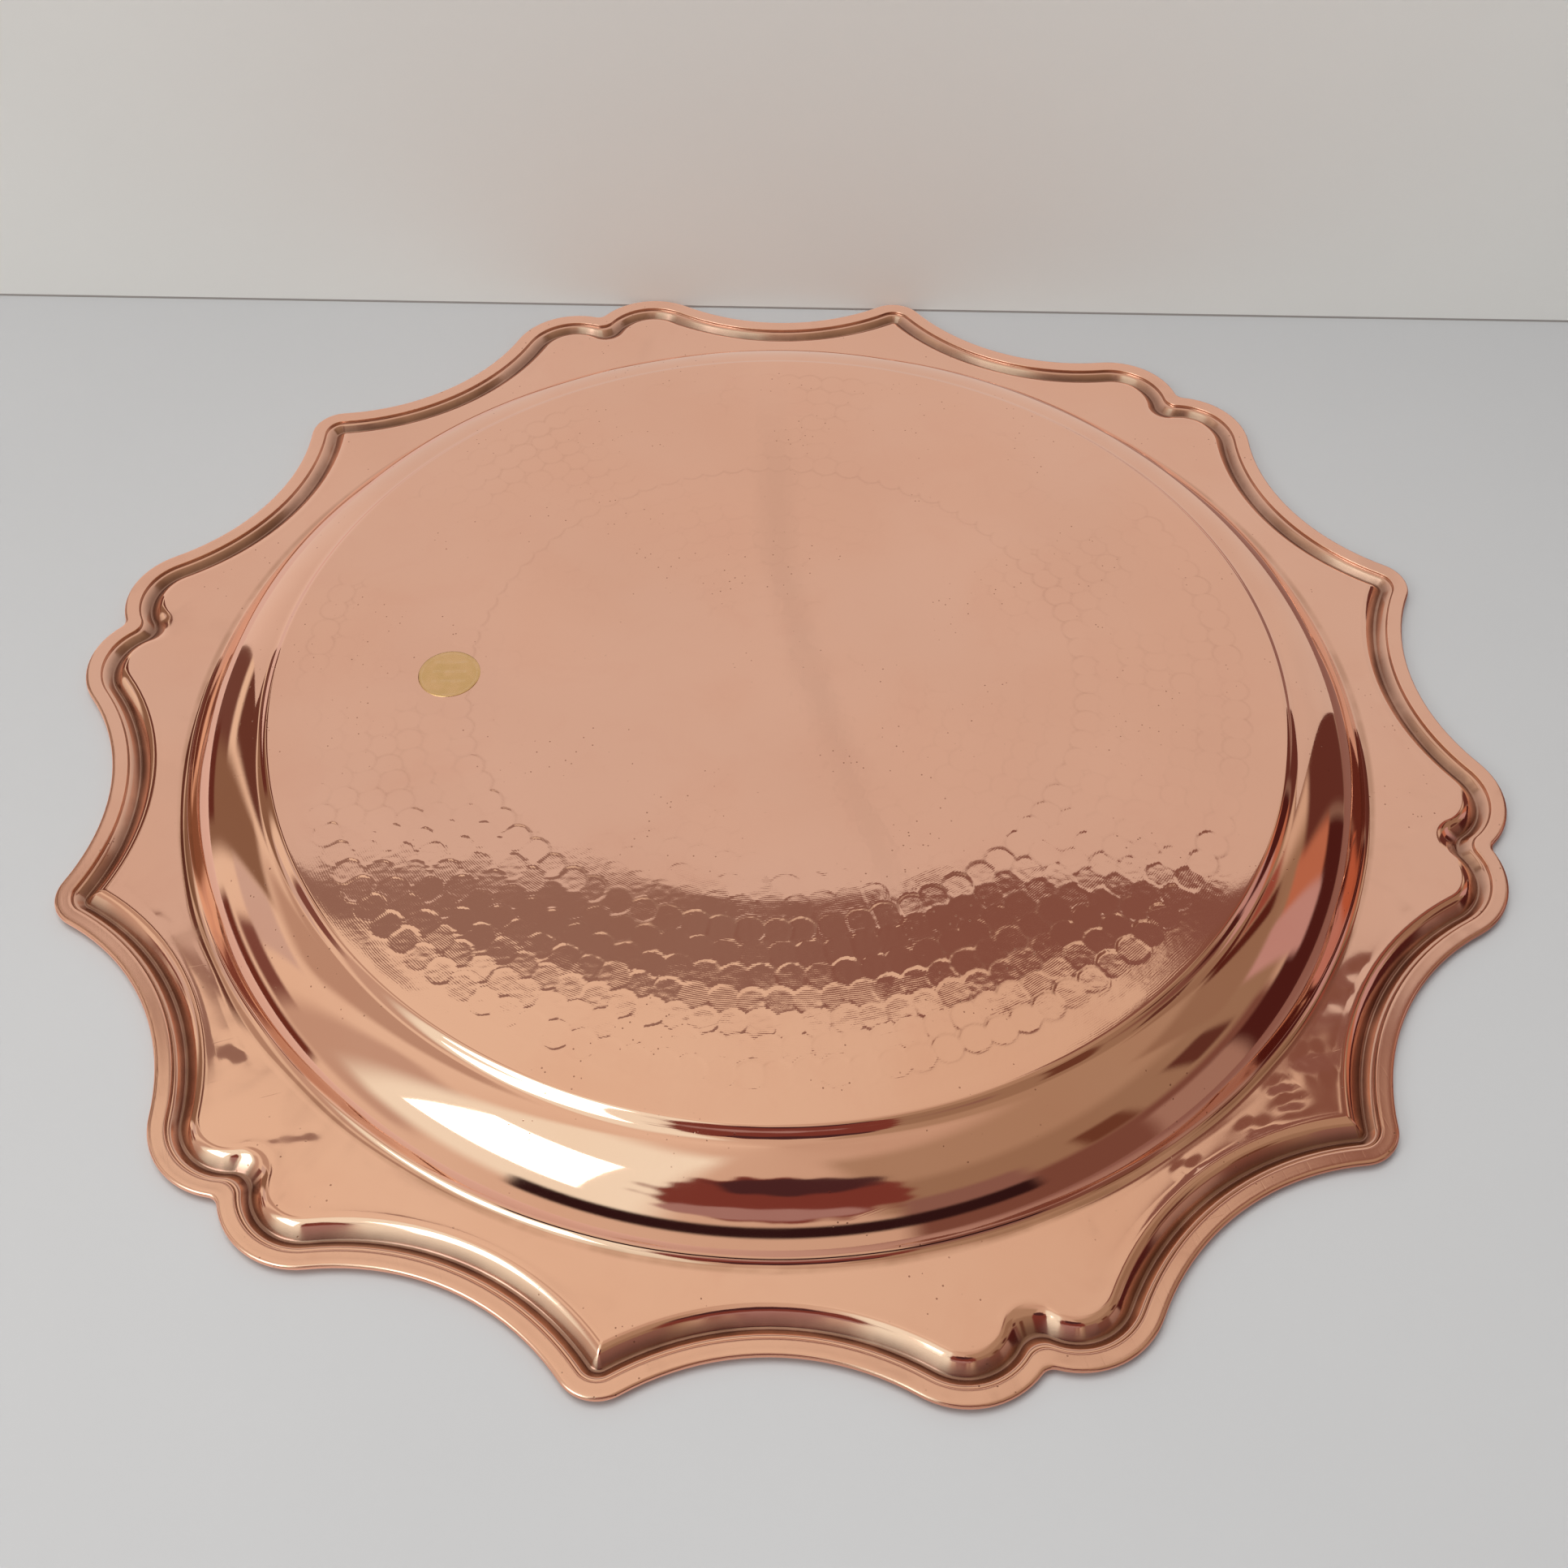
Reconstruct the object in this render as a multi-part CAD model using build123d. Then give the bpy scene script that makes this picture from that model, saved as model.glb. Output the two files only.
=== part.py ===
from build123d import *
import math
import os

# Hammered copper serving tray, lying face down: the rim rests on z = 0 and the
# underside of its base faces +Z.  The z axis is the centre of the round base.
# Six pointed cusps lie at 0, 60, 120 ... degrees, with a two-lobed bracket
# centred between each pair.  All lengths are in mm and all angles in degrees.

# Sheet
SHEET = 0.8            # copper sheet thickness
SPAN = 380.0           # overall width across opposite lobes

# Rim outline, one half repeat from a cusp (0 degrees) to a notch (30 degrees)
CUSP_RADIUS = 9.7      # rounded tip of a cusp
CUSP_CENTRE = 177.9    # distance of its centre from the axis
BAY_CENTRE = 235.7     # centre of the hollow bay beside a cusp, from the axis
BAY_ANGLE = 11.73      # direction of that centre
LOBE_RADIUS = 20.35    # swelling lobe between bay and notch
LOBE_ANGLE = 25.71     # direction of its centre
NOTCH_RADIUS = 3.0     # rounding in the notch between two lobes
NOTCH_SPREAD = 0.3     # growth of that rounding for each mm inside the outline
MITRE_RADIUS = 0.6     # least cusp rounding of a line inside the outline

# Rim moulding, widths measured inwards from the outline
LIP_BASE = 1.6         # lower face of the lip, above the table
HEM_WIDTH = 4.2        # raw edge of the hem, which is folded up and inwards
GROOVE_EDGE = 4.7      # outer shoulder of the pressed groove
GROOVE_FLOOR = 7.0     # lowest line of the groove
MOULDING = 12.2        # inner shoulder, where the flat flange begins
FLANGE_TOP = 4.0       # upper face of the flange
EDGE_SHOULDER = 1.0    # rounding at the groove's outer shoulder
FLOOR_OUTER = 0.5      # rounding outside the lowest line
FLOOR_INNER = 1.0      # rounding inside the lowest line
FLANGE_SHOULDER = 3.7  # soft shoulder under the flange
FACETS = 4             # steps along each rounded stretch of the moulding

# Well: round wall, step and slightly domed base
FOOT_RADIUS = 155.3    # flange meets the wall
FOOT_FILLET = 2.75     # hollow fillet at the foot of the wall
WALL_BULGE = 28.6      # radius of the bulging wall section
WALL_LOW = 62.0        # slope of the wall above the fillet
WALL_HIGH = 12.0       # slope of the wall below the step
STEP_HOLLOW = 4.0      # hollow radius at the bottom of the step
STEP_SLOPE = 42.0      # slope of the step
STEP_FLANK = 1.2       # straight flank of the step
STEP_ROUND = 1.8       # rounding at the top of the step
BASE_EDGE = 3.5        # slope of the base at its edge
BASE_BREAK = 0.9       # slope of the base just outside its flat middle
BASE_FLAT = 72.0       # radius of the flat middle

# Round foil label stuck on the base
LABEL_DIAMETER = 16.0
LABEL_FOIL = 0.12
LABEL_RADIUS = 84.5    # distance of its centre from the axis
LABEL_ANGLE = 161.8    # direction of its centre


def polar(radius, angle):
    turn = math.radians(angle)
    return Vector(radius * math.cos(turn), radius * math.sin(turn))


def toward(start, end, distance):
    return start + (end - start).normalized() * distance


def flip(point):
    """Mirror a point in the line through the notch at 30 degrees."""
    axis = polar(1, 30)
    return axis * (2 * point.dot(axis)) - point


def arc_edge(centre, start, end):
    """Arc of less than half a turn about centre, from start to end."""
    bulge = (start - centre) + (end - centre)
    middle = centre + bulge.normalized() * (start - centre).length
    return Edge.make_three_point_arc(start, middle, end)


def outline(inset, height):
    """Closed rim line moved inwards by inset, at the given height."""
    tip = Vector(CUSP_CENTRE, 0)
    bay = polar(BAY_CENTRE, BAY_ANGLE)
    lobe = polar(SPAN / 2 - LOBE_RADIUS, LOBE_ANGLE)
    axis = polar(1, 30)
    bay_radius = (bay - tip).length - CUSP_RADIUS + inset
    cusp_radius = max(CUSP_RADIUS - inset, MITRE_RADIUS)
    lobe_radius = (bay - lobe).length - bay_radius
    notch_radius = NOTCH_RADIUS + NOTCH_SPREAD * inset
    cusp = Vector(bay.X - math.sqrt((bay_radius + cusp_radius) ** 2 - bay.Y**2), 0)
    along = lobe.dot(axis)
    across = (lobe - axis * along).length
    notch = axis * (along + math.sqrt((lobe_radius + notch_radius) ** 2 - across**2))

    cusp_end = toward(cusp, bay, cusp_radius)
    bay_end = toward(bay, lobe, bay_radius)
    lobe_end = toward(lobe, notch, lobe_radius)
    repeat = [
        arc_edge(cusp, Vector(cusp_end.X, -cusp_end.Y), cusp_end),
        arc_edge(bay, cusp_end, bay_end),
        arc_edge(lobe, bay_end, lobe_end),
        arc_edge(notch, lobe_end, flip(lobe_end)),
        arc_edge(flip(lobe), flip(lobe_end), flip(bay_end)),
        arc_edge(flip(bay), flip(bay_end), flip(cusp_end)),
    ]
    turned = [edge.rotate(Axis.Z, 60 * k) for k in range(6) for edge in repeat]
    return Wire(turned).translate((0, 0, height))


def pressed(start, end, first, last):
    """Two arcs and a straight flank between level ends, as (inset, height, slope) points.

    first and last are the radii of the arcs.
    """
    run = end[0] - start[0]
    rise = end[1] - start[1]
    beyond = abs(rise) - first - last
    flank = math.atan2(beyond, run) + math.asin((first + last) / math.hypot(run, beyond))
    up = math.copysign(1, rise)
    points = []
    for step in range(FACETS + 1):
        slope = flank * step / FACETS
        inset = start[0] + first * math.sin(slope)
        height = start[1] + up * first * (1 - math.cos(slope))
        points.append((inset, height, up * slope))
    for step in reversed(range(FACETS + 1)):
        slope = flank * step / FACETS
        inset = end[0] - last * math.sin(slope)
        height = end[1] - up * last * (1 - math.cos(slope))
        points.append((inset, height, up * slope))
    return points


def stack(levels):
    """Solid with a rim line at each (inset, height) level."""
    return Solid.make_loft([outline(inset, height) for inset, height in levels], True)


def well(upper, lower):
    """Round well between two depths under its upper face.

    The section runs inwards from the flange; each piece is (radius, slope at
    its end), where a negative radius is hollow and None is a straight flank.
    """

    def normal(slope):
        return Vector(math.sin(math.radians(slope)), 0, math.cos(math.radians(slope)))

    pieces = [
        (-FOOT_FILLET, WALL_LOW),
        (WALL_BULGE, WALL_HIGH),
        (-STEP_HOLLOW, STEP_SLOPE),
        (None, STEP_SLOPE),
        (STEP_ROUND, BASE_EDGE),
    ]
    point = Vector(FOOT_RADIUS, 0, FLANGE_TOP)
    slope = 0.0
    section = []
    for radius, next_slope in pieces:
        if radius is None:
            away = Vector(-math.cos(math.radians(slope)), 0, math.sin(math.radians(slope)))
            after = point + away * STEP_FLANK
            middle = None
        else:
            centre = point - normal(slope) * radius
            after = centre + normal(next_slope) * radius
            middle = centre + normal((slope + next_slope) / 2) * radius
        section.append((point, middle, after, slope, next_slope))
        point = after
        slope = next_slope

    dome = (point.X - BASE_FLAT) / (normal(BASE_EDGE).X - normal(BASE_BREAK).X)
    centre = point - normal(slope) * dome
    after = centre + normal(BASE_BREAK) * dome
    middle = centre + normal((slope + BASE_BREAK) / 2) * dome
    section.append((point, middle, after, slope, BASE_BREAK))

    def face_line(depth):
        edges = []
        for start, middle, end, low, high in section:
            start = start - normal(low) * depth
            end = end - normal(high) * depth
            if middle is None:
                edges.append(Edge.make_line(start, end))
            else:
                middle = middle - normal((low + high) / 2) * depth
                edges.append(Edge.make_three_point_arc(start, middle, end))
        flat_end = Vector(0, 0, end.Z)
        edges.append(Edge.make_line(end, flat_end))
        return edges

    top = face_line(upper)
    bottom = face_line(lower)
    ends = [
        Edge.make_line(top[0] @ 0, bottom[0] @ 0),
        Edge.make_line(top[-1] @ 1, bottom[-1] @ 1),
    ]
    return revolve(Face(Wire(top + bottom + ends)), Axis.Z)


# Rim: the sheet's upper face from the lip's lower corner to the flange
lip_top = LIP_BASE + 2 * SHEET
edge_height = LIP_BASE + SHEET
upper = [(SHEET, -1.0)]
for step in range(2 * FACETS + 1):
    turn = math.radians(-90 + 180 * step / (2 * FACETS))
    upper.append((SHEET - SHEET * math.cos(turn), edge_height + SHEET * math.sin(turn)))
upper += [(HEM_WIDTH, lip_top), (HEM_WIDTH, edge_height)]
groove = (GROOVE_FLOOR, SHEET)
press = pressed((GROOVE_EDGE, edge_height), groove, EDGE_SHOULDER, FLOOR_OUTER)
press += pressed(groove, (MOULDING, FLANGE_TOP), FLOOR_INNER, FLANGE_SHOULDER)[1:]
upper += [(inset, height) for inset, height, slope in press]

# Lower face: the same pressing, one sheet thickness further down
lower = [(SHEET / 2, -2.0), (SHEET / 2, LIP_BASE)]
for inset, height, slope in press:
    lower.append((inset + SHEET * math.sin(slope), height - SHEET * math.cos(slope)))

rim = stack(upper) - stack(lower)
rim -= Cylinder(FOOT_RADIUS, 3 * FLANGE_TOP)
tray_body = rim + well(0, SHEET)

# Label: a disc of foil that follows the base
label_place = Pos(*polar(LABEL_RADIUS, LABEL_ANGLE)) * Cylinder(LABEL_DIAMETER / 2, 200)
foil_label = well(-LABEL_FOIL, 0) & label_place

os.makedirs("parts", exist_ok=True)
for name, solid in (("tray_body", tray_body), ("foil_label", foil_label)):
    export_step(solid, f"parts/{name}.step")
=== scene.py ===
import math

import bmesh
import bpy
import numpy as np
from mathutils import Matrix, Vector


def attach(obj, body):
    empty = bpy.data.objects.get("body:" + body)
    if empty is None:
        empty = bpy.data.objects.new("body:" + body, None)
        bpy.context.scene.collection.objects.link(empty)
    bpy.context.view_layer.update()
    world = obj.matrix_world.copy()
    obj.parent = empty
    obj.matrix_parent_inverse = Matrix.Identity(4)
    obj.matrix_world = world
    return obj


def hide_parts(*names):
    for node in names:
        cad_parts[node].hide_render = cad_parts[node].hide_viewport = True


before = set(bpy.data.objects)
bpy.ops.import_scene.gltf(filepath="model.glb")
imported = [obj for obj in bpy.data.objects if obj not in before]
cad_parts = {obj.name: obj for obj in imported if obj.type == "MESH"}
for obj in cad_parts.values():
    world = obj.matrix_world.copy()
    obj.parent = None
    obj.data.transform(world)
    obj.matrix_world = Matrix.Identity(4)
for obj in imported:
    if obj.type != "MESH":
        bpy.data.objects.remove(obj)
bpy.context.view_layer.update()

# Hammered copper serving tray, face down.  Lengths below are in millimetres
# and angles in degrees unless a name says otherwise; meshes are made in metres.
MM = 0.001

# The rim and the well, as in the CAD part
SHEET = 0.8
SPAN = 380.0
CUSP_RADIUS, CUSP_CENTRE = 9.7, 177.9
BAY_CENTRE, BAY_ANGLE = 235.7, 11.73
LOBE_RADIUS, LOBE_ANGLE = 20.35, 25.71
NOTCH_RADIUS, NOTCH_SPREAD, MITRE_RADIUS = 3.0, 0.3, 0.6
LIP_BASE = 1.6
GROOVE_EDGE, GROOVE_FLOOR, MOULDING = 4.7, 7.0, 12.2
EDGE_SHOULDER, FLOOR_OUTER, FLOOR_INNER, FLANGE_SHOULDER = 1.0, 0.5, 1.0, 3.7
FLANGE_TOP, FOOT_RADIUS, FOOT_FILLET = 4.0, 155.3, 2.75
WALL_BULGE, WALL_LOW, WALL_HIGH = 28.6, 62.0, 12.0
STEP_HOLLOW, STEP_SLOPE, STEP_FLANK, STEP_ROUND = 4.0, 42.0, 1.2, 1.8
BASE_EDGE, BASE_BREAK, BASE_FLAT = 3.5, 0.9, 72.0
LABEL_RADIUS, LABEL_ANGLE, LABEL_DIAMETER = 84.5, 161.8, 16.0

# The room turns with the camera: its front wall faces along the view
VIEW_TURN = -18.215        # from the room's axes to the CAD's

rng = np.random.default_rng(7)


# ---------------------------------------------------------------- stage tools

def room(x, y, z):
    """A point given in the room's axes (mm), in CAD metres."""
    turn = math.radians(VIEW_TURN)
    c, s = math.cos(turn), math.sin(turn)
    return (MM * (c * x - s * y), MM * (s * x + c * y), MM * z)


def new_mesh(name, points, faces, smooth=True):
    mesh = bpy.data.meshes.new(name)
    mesh.from_pydata(points, [], faces)
    if smooth:
        mesh.shade_smooth()
    obj = bpy.data.objects.new(name, mesh)
    bpy.context.scene.collection.objects.link(obj)
    return obj


def shader(name):
    """A new node material with only its output, and its node tools."""
    mat = bpy.data.materials.new(name)
    mat.use_nodes = True
    mat.node_tree.nodes.clear()
    out = mat.node_tree.nodes.new("ShaderNodeOutputMaterial")
    return mat, out


class Nodes:
    """Short calls for building one material's node tree.

    A value may be a number, a colour or another node's output.
    """

    def __init__(self, mat):
        self.tree = mat.node_tree

    def put(self, socket, value):
        if isinstance(value, bpy.types.NodeSocket):
            self.tree.links.new(value, socket)
        else:
            socket.default_value = value

    def add(self, kind, **sockets):
        node = self.tree.nodes.new("ShaderNode" + kind)
        for key, value in sockets.items():
            self.put(node.inputs[key.replace("_", " ")], value)
        return node

    def attribute(self, name):
        node = self.add("Attribute")
        node.attribute_name = name
        return node.outputs["Fac"]

    def math(self, operation, *values):
        node = self.add("Math")
        node.operation = operation
        for socket, value in zip(node.inputs, values):
            self.put(socket, value)
        return node.outputs[0]

    def times(self, first, *others):
        for other in others:
            first = self.math("MULTIPLY", first, other)
        return first

    def plus(self, first, *others):
        for other in others:
            first = self.math("ADD", first, other)
        return first

    def mix(self, factor, a, b):
        node = self.add("Mix")
        node.data_type = "RGBA"
        for place, value in ((0, factor), (6, a), (7, b)):
            self.put(node.inputs[place], value)
        return node.outputs[2]

    def smooth(self, value, low, high, to_low=0.0, to_high=1.0):
        """Smooth step from to_low at low to to_high at high."""
        node = self.add("MapRange")
        node.interpolation_type = "SMOOTHSTEP"
        for place, number in enumerate((value, low, high, to_low, to_high)):
            self.put(node.inputs[place], number)
        return node.outputs[0]

    def band(self, value, low, high, soft):
        """One between low and high, with each edge twice soft wide."""
        return self.times(self.smooth(value, low - soft, low + soft),
                          self.smooth(value, high - soft, high + soft, 1.0, 0.0))

    def noise(self, coords, scale, detail=2.0, rough=0.5, distort=0.0):
        node = self.add("TexNoise", Vector=coords, Scale=scale, Detail=detail,
                        Roughness=rough, Distortion=distort)
        return node.outputs[0]

    def scaled_noise(self, coords, scale, turn):
        """Noise drawn out along one way, for fine scratches."""
        place = self.add("Mapping", Vector=coords, Scale=scale, Rotation=(0, 0, turn))
        return self.noise(place.outputs[0], 1.0)


def linear(*rgb):
    """sRGB 0-255 to linear light."""
    c = np.array(rgb, float) / 255
    return np.where(c <= 0.04045, c / 12.92, ((c + 0.055) / 1.055) ** 2.4)


# --------------------------------------------------------------------- camera

ELEVATION, ROLL, REACH, LENS, SENSOR = 50.517, 0.3424, 511.4, 45.11, 36.0
AIM = (1.9, -18.2, 2.4)


def make_camera():
    up, roll = math.radians(ELEVATION), math.radians(ROLL)
    forward = np.array([0, math.cos(up), -math.sin(up)])
    level, lift = np.array([1.0, 0, 0]), np.array([0, math.sin(up), math.cos(up)])
    right = math.cos(roll) * level + math.sin(roll) * lift
    top = math.cos(roll) * lift - math.sin(roll) * level
    place = np.array(AIM) - REACH * forward
    camera = bpy.data.objects.new("camera", bpy.data.cameras.new("camera"))
    bpy.context.scene.collection.objects.link(camera)
    columns = [Vector(room(*v)) / MM for v in (right, top, -forward)]
    matrix = Matrix([[columns[k][row] for k in range(3)] for row in range(3)]).to_4x4()
    matrix.translation = room(*place)
    camera.matrix_world = matrix
    camera.data.lens = LENS
    camera.data.sensor_width = SENSOR
    camera.data.clip_start, camera.data.clip_end = 0.01, 50.0
    bpy.context.scene.camera = camera


# -------------------------------------------------------------- the well's line

def well_line():
    """The well's upper face as pieces (start, centre or None, radius, slopes).

    Points are (radius, height); slopes fall from the wall to the base.
    """
    def normal(slope):
        return np.array([math.sin(math.radians(slope)), math.cos(math.radians(slope))])

    pieces, point, slope = [], np.array([FOOT_RADIUS, FLANGE_TOP]), 0.0
    for radius, after in ((-FOOT_FILLET, WALL_LOW), (WALL_BULGE, WALL_HIGH),
                          (-STEP_HOLLOW, STEP_SLOPE), (None, STEP_SLOPE),
                          (STEP_ROUND, BASE_EDGE)):
        if radius is None:
            turn = math.radians(slope)
            end = point + STEP_FLANK * np.array([-math.cos(turn), math.sin(turn)])
            pieces.append((point, end, None, slope, after))
        else:
            centre = point - normal(slope) * radius
            end = centre + normal(after) * radius
            pieces.append((centre, end, radius, slope, after))
        point, slope = end, after
    dome = (point[0] - BASE_FLAT) / (normal(BASE_EDGE)[0] - normal(BASE_BREAK)[0])
    centre = point - normal(slope) * dome
    return pieces, point, centre, dome


WELL, BASE_RIM, DOME_CENTRE, DOME_RADIUS = well_line()


def wall_rows(step, depth):
    """(radius, height) rows down the wall from the flange to the base's rim."""
    rows = []
    for centre, end, radius, low, high in WELL:
        if radius is None:
            length = STEP_FLANK
        else:
            length = abs(radius) * math.radians(abs(high - low))
        count = max(3 if abs(radius or 9) < 5 else 2, round(length / step))
        for k in range(count):
            share = k / count
            slope = math.radians(low + (high - low) * share)
            normal = np.array([math.sin(slope), math.cos(slope)])
            if radius is None:
                point = centre + (end - centre) * share
            else:
                point = centre + normal * radius
            rows.append(point - normal * depth)
    return rows


def base_height(radius):
    """Height of the base's upper face before it is hammered."""
    out = np.maximum(radius, BASE_FLAT)
    return DOME_CENTRE[1] + np.sqrt(DOME_RADIUS**2 - (out - DOME_CENTRE[0]) ** 2)


# --------------------------------------------------------------- hammer marks

MARK_PITCH = 6.3           # between rings of marks
MARK_ALONG = 6.45          # between marks along a ring
MARK_RADIUS = 3.72
MARK_DEPTH = 0.030         # at a mark's inward edge
MARK_DISH = 0.010          # how far its middle lies under its edge
MARK_LIP = 0.015           # fine ridge round it
OUTER_RING = 119.0
RING_COUNT = 18
PATTERN_OFFSET = (-1.0, 1.2)
HARD_RING = 81.5           # a ring of marks struck harder than those beside it
BLOW_MIDDLE, BLOW_HARD, BLOW_USUAL = 0.30, 1.15, 0.72
MARK_BLEND = 0.4           # width of a mark's soft edge
RIDGE_WIDTH, DIRT_WIDTH = 0.33, 0.30


def blow(radius):
    """How hard a ring of marks was struck."""
    if radius < BASE_FLAT + 3:
        return BLOW_MIDDLE
    if radius > OUTER_RING - 2 or abs(radius - HARD_RING) < 2:
        return BLOW_HARD
    return BLOW_USUAL


def make_marks():
    """Every mark as (x, y, radius, depth, tilt x, tilt y, direction, distance,
    ridge), ring by ring from the outside, each staggered against the last."""
    starts, counts, marks, phase = [], [], [], 0.0
    for ring in range(RING_COUNT):
        radius = OUTER_RING - MARK_PITCH * ring
        count = max(5, round(2 * math.pi * radius / MARK_ALONG))
        hard = blow(radius)
        phase += 0.5 + rng.uniform(-0.08, 0.08)
        starts.append(len(marks))
        counts.append(count)
        for k in range(count):
            turn = 2 * math.pi * (k + phase + rng.normal(0, 0.045)) / count
            away = radius + rng.normal(0, 0.15)
            size = MARK_RADIUS * (1 + rng.normal(0, 0.035))
            depth = MARK_DEPTH * hard * (1 + rng.normal(0, 0.2))
            marks.append((away * math.cos(turn), away * math.sin(turn), size, depth,
                          hard * rng.normal(0, 0.003), hard * rng.normal(0, 0.003),
                          turn, away, MARK_LIP * hard * rng.uniform(0.5, 1.35)))
    return np.array(starts), np.array(counts), np.array(marks)


MARK_STARTS, MARK_COUNTS, MARKS = make_marks()


def hammered(x, y):
    """Height change of the hammered base and the dirt held at its ridges:
    marks lie over one another like scales, each ring over the one inside it."""
    px, py = x - PATTERN_OFFSET[0], y - PATTERN_OFFSET[1]
    away, turn = np.hypot(px, py), np.arctan2(py, px)
    nearest = np.round((OUTER_RING - away) / MARK_PITCH).astype(int)
    change, dirt = np.zeros_like(away), np.zeros_like(away)
    for step in (2, 1, 0, -1):                # inner rings first
        ring = nearest + step
        inside = (ring >= 0) & (ring < RING_COUNT)
        ring = np.clip(ring, 0, RING_COUNT - 1)
        count, start = MARK_COUNTS[ring], MARK_STARTS[ring]
        phase = MARKS[start, 6]
        place = np.round(((turn - phase) / (2 * math.pi)) * count).astype(int)
        for beside in (-1, 1, 0):
            (mark_x, mark_y, size, depth, tilt_x, tilt_y, _, distance,
             lip) = MARKS[start + (place + beside) % count].T
            dx, dy = px - mark_x, py - mark_y
            off = np.hypot(dx, dy)
            edge = np.clip((size + MARK_BLEND / 2 - off) / MARK_BLEND, 0, 1)
            cover = edge * edge * (3 - 2 * edge) * inside
            inward = (distance - away) / size
            dish = MARK_DISH * (depth / MARK_DEPTH)
            floor = -depth * (0.6 + 0.4 * inward) - dish * (1 - (off / size) ** 2)
            floor += dx * tilt_x + dy * tilt_y
            ridge = lip * np.exp(-(((off - size - 0.05) / RIDGE_WIDTH) ** 2)) * inside
            change = change * (1 - cover) + floor * cover + ridge * (1 - 0.5 * (off < size))
            edge = np.exp(-(((off - size) / DIRT_WIDTH) ** 2)) * inside
            dirt = dirt * (1 - cover) + edge * np.minimum(1.2, depth / MARK_DEPTH)
    return change, dirt


# Smooth random fields: height, number of waves, shortest, longest, seed
BASE_RIPPLE = (0.0018, 16, 1.5, 3.0, 3)
BASE_SWELL = (0.010, 9, 18, 45, 4)
FLANGE_SWELL = (0.032, 10, 30, 70, 11)
FLANGE_RIPPLE = (0.003, 10, 7, 14, 12)
BASE_SINK = 0.035          # of the hammered area under its plain edge
HAMMERED_TO = 128.0


def waves(x, y, height, count, shortest, longest, seed):
    """Smooth random field of about the given height from plane waves."""
    draw = np.random.default_rng(seed)
    total = np.zeros_like(x)
    for _ in range(count):
        turn, phase = draw.uniform(0, 2 * math.pi, 2)
        wave = 2 * math.pi / draw.uniform(shortest, longest)
        total += np.sin(wave * (x * math.cos(turn) + y * math.sin(turn)) + phase)
    return height * total / math.sqrt(count / 2)


def base_change(x, y):
    """All that makes the base differ from its clean turned shape."""
    away = np.hypot(x, y)
    inner = np.clip((HAMMERED_TO - away) / 3.0, 0, 1)
    uneven = waves(x, y, *BASE_RIPPLE) + waves(x, y, *BASE_SWELL)
    calm = 0.45 + 0.55 * np.clip((away - BASE_FLAT + 4) / 6, 0, 1)
    return hammered(x, y)[0] + (uneven * calm - BASE_SINK) * inner


# ------------------------------------------------------------------ rim outline

ARC_STEPS = (8, 22, 16, 9)      # cusp, bay, lobe and notch


def polar(radius, angle):
    return radius * np.array([math.cos(math.radians(angle)), math.sin(math.radians(angle))])


def swing(centre, start, end, count, last=False):
    """Points on the short arc about centre from start to end."""
    a = math.atan2(*(start - centre)[::-1])
    b = math.atan2(*(end - centre)[::-1])
    b = a + (b - a + math.pi) % (2 * math.pi) - math.pi
    turn = a + (b - a) * np.arange(count + bool(last)) / count
    radius = np.linalg.norm(start - centre)
    return centre + radius * np.stack([np.cos(turn), np.sin(turn)], 1)


def outline(inset):
    """Closed rim line moved inwards by inset, always with the same points."""
    tip, bay = np.array([CUSP_CENTRE, 0.0]), polar(BAY_CENTRE, BAY_ANGLE)
    lobe, axis = polar(SPAN / 2 - LOBE_RADIUS, LOBE_ANGLE), polar(1, 30)
    bay_radius = np.linalg.norm(bay - tip) - CUSP_RADIUS + inset
    cusp_radius = max(CUSP_RADIUS - inset, MITRE_RADIUS)
    lobe_radius = np.linalg.norm(bay - lobe) - bay_radius
    notch_radius = NOTCH_RADIUS + NOTCH_SPREAD * inset
    cusp = np.array([bay[0] - math.sqrt((bay_radius + cusp_radius) ** 2 - bay[1] ** 2), 0])
    along = lobe @ axis
    across = np.linalg.norm(lobe - axis * along)
    notch = axis * (along + math.sqrt((lobe_radius + notch_radius) ** 2 - across**2))

    def toward(start, end, distance):
        return start + (end - start) / np.linalg.norm(end - start) * distance

    def flip(point):
        return 2 * np.outer(point @ axis, axis) - point

    cusp_end = toward(cusp, bay, cusp_radius)
    bay_end = toward(bay, lobe, bay_radius)
    lobe_end = toward(lobe, notch, lobe_radius)
    middle = axis * (notch @ axis - notch_radius)
    half = np.concatenate([
        swing(cusp, cusp + [cusp_radius, 0], cusp_end, ARC_STEPS[0]),
        swing(bay, cusp_end, bay_end, ARC_STEPS[1]),
        swing(lobe, bay_end, lobe_end, ARC_STEPS[2]),
        swing(notch, lobe_end, middle, ARC_STEPS[3], last=True),
    ])
    repeat = np.concatenate([half, flip(half[1:-1])[::-1]])
    turned = []
    for k in range(6):
        turn = math.radians(60 * k)
        c, s = math.cos(turn), math.sin(turn)
        turned.append(repeat @ np.array([[c, s], [-s, c]]))
    return np.concatenate(turned)


def pressed(start, end, first, last, steps):
    """Two arcs and a straight flank between level ends, as (inset, height, slope)."""
    run, rise = end[0] - start[0], end[1] - start[1]
    beyond, up = abs(rise) - first - last, math.copysign(1, rise)
    flank = math.atan2(beyond, run) + math.asin((first + last) / math.hypot(run, beyond))
    points = []
    for slope in np.linspace(0, flank, steps + 1):
        points.append((start[0] + first * math.sin(slope),
                       start[1] + up * first * (1 - math.cos(slope)), up * slope))
    for slope in np.linspace(flank, 0, steps + 1):
        points.append((end[0] - last * math.sin(slope),
                       end[1] - up * last * (1 - math.cos(slope)), up * slope))
    return points


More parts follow.
